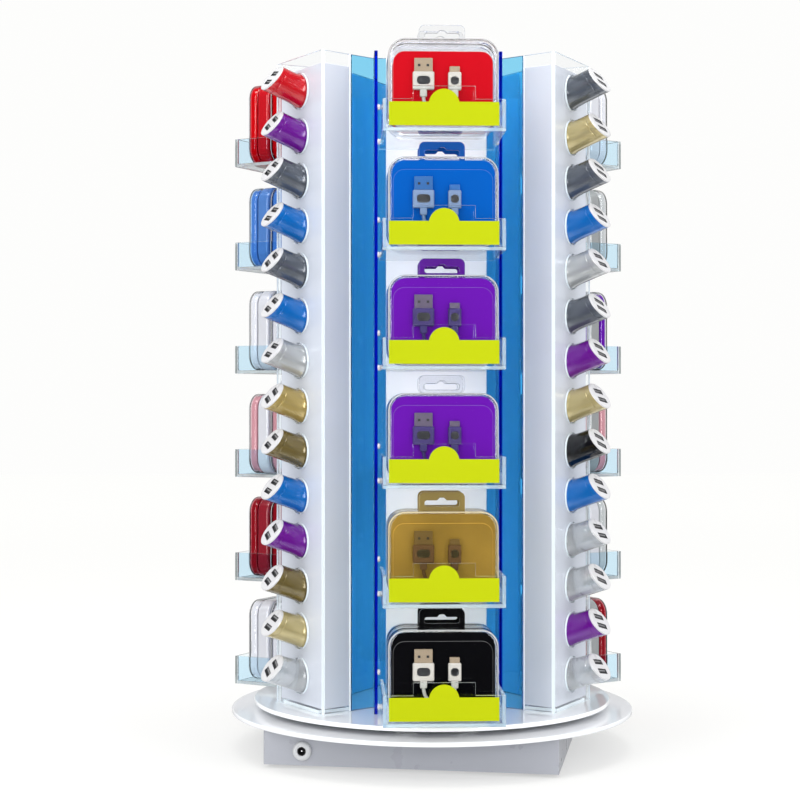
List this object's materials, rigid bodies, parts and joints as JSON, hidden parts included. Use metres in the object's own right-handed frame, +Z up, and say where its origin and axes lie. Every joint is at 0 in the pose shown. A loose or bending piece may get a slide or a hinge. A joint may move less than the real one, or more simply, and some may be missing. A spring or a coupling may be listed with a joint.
{
  "type": "revolving counter display rack",
  "caption": "Free-standing revolving counter rack: a square base and turntable carry a three-sided tower of clear bins and charger holders.",
  "frame": {"origin": "centre of the turning axis on the surface that the four feet stand on", "axes": "+Z up along the turning axis; the front column of bins faces -Y; +X is to the right seen from the front"},
  "size_m": [0.3806, 0.38, 0.6535],
  "materials": {
    "white_acrylic": "white cast acrylic sheet, gloss",
    "base_shell": "white moulded board, satin gloss",
    "clear_acrylic": "clear cast acrylic with polished edges",
    "blue_acrylic": "transparent blue cast acrylic, polished",
    "bearing_steel": "ground bearing steel",
    "motor_case": "zinc-plated pressed steel",
    "foot_rubber": "matt black rubber",
    "inlet_plastic": "grey-white moulded plastic",
    "charger_parts": "lacquered charger barrels on a white insert",
    "boxed_goods": "coloured product cases with clear lids"
  },
  "bodies": {
    "base": {"base_box": "base_shell", "foot_front_left": "foot_rubber", "foot_front_right": "foot_rubber", "foot_rear_left": "foot_rubber", "foot_rear_right": "foot_rubber", "power_inlet": "inlet_plastic", "fixed_disc": "white_acrylic", "drive_motor": "motor_case", "bearing_lower_race": "bearing_steel"},
    "turntable": {"bearing_upper_race": "bearing_steel", "drive_shaft": "bearing_steel", "turntable_disc": "white_acrylic", "core_channel_front": "blue_acrylic", "back_panel_front": "white_acrylic", "bin_front_1": "clear_acrylic", "case_pair_front_1": "boxed_goods", "bin_front_2": "clear_acrylic", "case_pair_front_2": "boxed_goods", "bin_front_3": "clear_acrylic", "case_pair_front_3": "boxed_goods", "bin_front_4": "clear_acrylic", "case_pair_front_4": "boxed_goods", "bin_front_5": "clear_acrylic", "case_pair_front_5": "boxed_goods", "bin_front_6": "clear_acrylic", "case_pair_front_6": "boxed_goods", "core_channel_right": "blue_acrylic", "back_panel_right": "white_acrylic", "bin_right_1": "clear_acrylic", "case_pair_right_1": "boxed_goods", "bin_right_2": "clear_acrylic", "case_pair_right_2": "boxed_goods", "bin_right_3": "clear_acrylic", "case_pair_right_3": "boxed_goods", "bin_right_4": "clear_acrylic", "case_pair_right_4": "boxed_goods", "bin_right_5": "clear_acrylic", "case_pair_right_5": "boxed_goods", "bin_right_6": "clear_acrylic", "case_pair_right_6": "boxed_goods", "core_channel_left": "blue_acrylic", "back_panel_left": "white_acrylic", "bin_left_1": "clear_acrylic", "case_pair_left_1": "boxed_goods", "bin_left_2": "clear_acrylic", "case_pair_left_2": "boxed_goods", "bin_left_3": "clear_acrylic", "case_pair_left_3": "boxed_goods", "bin_left_4": "clear_acrylic", "case_pair_left_4": "boxed_goods", "bin_left_5": "clear_acrylic", "case_pair_left_5": "boxed_goods", "bin_left_6": "clear_acrylic", "case_pair_left_6": "boxed_goods", "charger_box_right": "clear_acrylic", "charger_insert_right": "charger_parts", "charger_box_rear": "clear_acrylic", "charger_insert_rear": "charger_parts", "charger_box_left": "clear_acrylic", "charger_insert_left": "charger_parts"}
  },
  "joints": [
    {"name": "turntable_spin", "type": "hinge", "parent": "base", "child": "turntable", "pos_m": [0, 0, 0.04], "axis": [0, 0, 1], "continuous": true}
  ]
}
